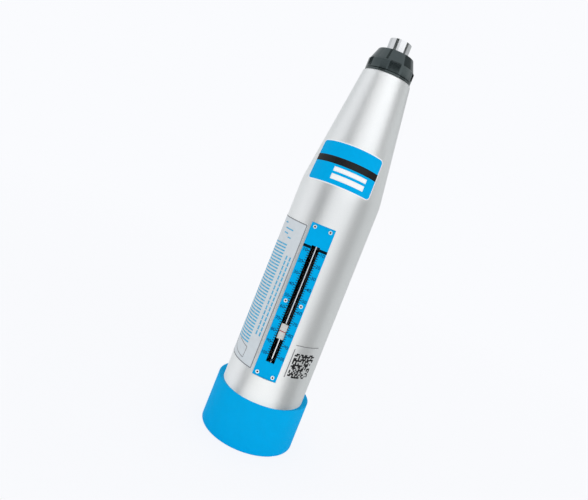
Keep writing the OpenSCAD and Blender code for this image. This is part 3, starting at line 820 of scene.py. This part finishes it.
def studio_floor(half_size, shadow_share, shadow_near, shadow_far, steps=9):
    """A pale floor under the tail face: mostly the backdrop's own white for rays that see it, so the
    horizon is lost, and partly matt round the hammer, so that it keeps the hammer's shadow."""
    material, tree, shader, coords = node_material("floor_paper")
    cloud = noise(tree, coords, 40.0)
    tree.links.new(ramp(tree, cloud, tint(backdrop, 0.99), backdrop), shader.inputs["Base Color"])
    shader.inputs["Roughness"].default_value = 0.9
    shader.inputs["Specular IOR Level"].default_value = 0.0
    glow = tree.nodes.new("ShaderNodeEmission")
    glow.inputs["Color"].default_value = (*backdrop, 1)
    away = vector_math(tree, "LENGTH", coords)["Value"]
    fade = map_range(tree, away, shadow_near * MM, shadow_far * MM, 1 - shadow_share, 1.0)
    backdrop_share = math_node(tree, "MULTIPLY", seen_rays(tree), fade)
    mix = tree.nodes.new("ShaderNodeMixShader")
    tree.links.new(backdrop_share, mix.inputs["Fac"])
    tree.links.new(shader.outputs["BSDF"], mix.inputs[1])
    tree.links.new(glow.outputs["Emission"], mix.inputs[2])
    tree.links.new(mix.outputs["Shader"], tree.nodes["Material Output"].inputs["Surface"])
    span = np.linspace(-half_size, half_size, steps)
    x, y = np.meshgrid(span, span)
    points = np.stack([x, y, np.zeros_like(x)], axis=-1)
    floor = put_mesh("floor", points, grid_faces(steps, steps), material)


studio_world(ambient=0.88)
studio_floor(half_size=6000.0, shadow_share=0.12, shadow_near=250.0, shadow_far=800.0)

# Reflection cards: how far out they stand, the heights of their rows, and the ring that the cap mirrors
card_r = 900
card_low = 0.4
near_rs = (36, 150)
level_r = 600
level_z = 250
tip_z = 520
high_zs = (700, 820)
top_zs = (900, 3200)
middle_zs = (40, 260)
white_r = 890
white_zs = (580, 920)
front_low = 0.6
cap_ring_r = 880
cap_ring_zs = (470, 508)
plunger_r = 885
plunger_zs = (512, 562)


def glowing(name, colour, strength):
    """A card material that shines evenly, with a slight drift of its colour."""
    material, tree, shader, coords = node_material(name)
    shader.inputs["Base Color"].default_value = (0, 0, 0, 1)
    shader.inputs["Specular IOR Level"].default_value = 0.0
    shader.inputs["Emission Strength"].default_value = strength
    cloud = noise(tree, coords, 300.0)
    tree.links.new(ramp(tree, cloud, tint(colour, 0.98), colour), shader.inputs["Emission Color"])
    return material


def card(name, rows, material, steps=9):
    """A card that only reflections see, so that the metal shows a soft band down its length. Each of its
    rows is an arc round the barrel: its distance from the axis, its height and the angles of its ends."""
    out, up, low, high = np.array(rows, float).T[..., None]
    angle = np.radians(low + (high - low) * np.linspace(0, 1, steps))
    height = np.broadcast_to(up, angle.shape)
    points = np.stack([out * np.sin(angle), -out * np.cos(angle), height], axis=-1)
    sheet = put_mesh(name, points, grid_faces(*angle.shape), material)
    sheet.visible_camera = False
    sheet.visible_diffuse = False
    sheet.visible_shadow = False
    sheet.visible_transmission = False


def standing(near, level, tip, high, top):
    """Rows of a card that runs out along the floor and then stands up: its ends' angles near the barrel,
    further out, and where the plunger's tip, the taper and the front cap's cone see it."""
    rows = [(r, card_low, *near) for r in near_rs]
    rows += [(r, card_low, *level) for r in (level_r, card_r)]
    rows += [(card_r, level_z, *level), (card_r, tip_z, *tip)]
    rows += [(card_r, z, *high) for z in high_zs]
    if top:
        rows += [(card_r, z, *top) for z in top_zs]
    return rows


def upright(out, heights, turns):
    """Rows of a plain upright card: its distance, its two heights and the angles of its ends."""
    return [(out, z, *turns) for z in heights]


black_card = glowing("card_black", (0.010, 0.011, 0.011), 1.0)
dark_card = glowing("card_dark", (0.09, 0.10, 0.10), 1.0)
dim_card = glowing("card_dim", (0.27, 0.28, 0.28), 1.0)
grey_card = glowing("card_grey", (0.60, 0.62, 0.63), 1.0)
pale_card = glowing("card_pale", (0.78, 0.80, 0.82), 1.0)
white_card = glowing("card_white", (1.0, 1.0, 1.0), 1.15)
card("card_left", standing((-57, -41), (-51, -20), (-51, -17), (-52, -38), None), dark_card)
card("card_left_top", upright(card_r, (high_zs[1], top_zs[1]), (-52, -36)), dim_card)
card("card_right", standing((41, 92), (54, 95), (60, 88), (76, 107), (76, 128)), dim_card)
card("card_far_right", standing((92, 165), (95, 165), (88, 165), (107, 165), (128, 165)), grey_card)
far_left = (-170, -100)
card("card_far_left", standing(far_left, far_left, far_left, far_left, far_left), pale_card)
card("card_middle", upright(card_r, middle_zs, (-8, 50)), pale_card)
card("card_high", upright(white_r, white_zs, (-34, 12)), white_card)
front_rows = ((40, front_low, -41, 48), (180, front_low, -36, 50), (320, front_low, -12, 20))
card("card_front", front_rows, white_card)

# A ring of small cards that the front cap's straight wall mirrors sharply, and the plunger's card
card("card_cap_left", upright(cap_ring_r, cap_ring_zs, (-138, -104)), dark_card)
card("card_cap_pale", upright(cap_ring_r, cap_ring_zs, (-104, -10)), pale_card)
card("card_cap_middle", upright(cap_ring_r, cap_ring_zs, (-10, 46)), dark_card)
card("card_cap_white", upright(cap_ring_r, cap_ring_zs, (46, 114)), white_card)
card("card_cap_side", upright(cap_ring_r, cap_ring_zs, (114, 136)), pale_card)
card("card_cap_right", upright(cap_ring_r, cap_ring_zs, (136, 178)), black_card)
card("card_plunger", upright(plunger_r, plunger_zs, (64, 84.5)), dark_card)

# The barrel's foot shows no blue in the photograph, so reflections pass the palm cap by
nodes["palm_cap"].visible_glossy = False


def photo_camera():
    """Camera at the photograph's place, with its focal length and picture centre given in pixels."""
    data = bpy.data.cameras.new("camera")
    data.sensor_fit = "HORIZONTAL"
    data.sensor_width = sensor_w
    data.lens = focal_px * sensor_w / image_w
    data.shift_x = (image_w / 2 - centre_px[0]) / image_w
    data.shift_y = (centre_px[1] - image_h / 2) / image_w
    data.clip_start = 0.01
    camera = bpy.data.objects.new("camera", data)
    turn = Matrix((camera_right, -camera_down, -camera_forward)).transposed().to_4x4()
    camera.matrix_world = Matrix.Translation(camera_place * MM) @ turn
    bpy.context.scene.collection.objects.link(camera)
    bpy.context.scene.camera = camera


photo_camera()
bpy.context.scene.view_settings.view_transform = "Standard"
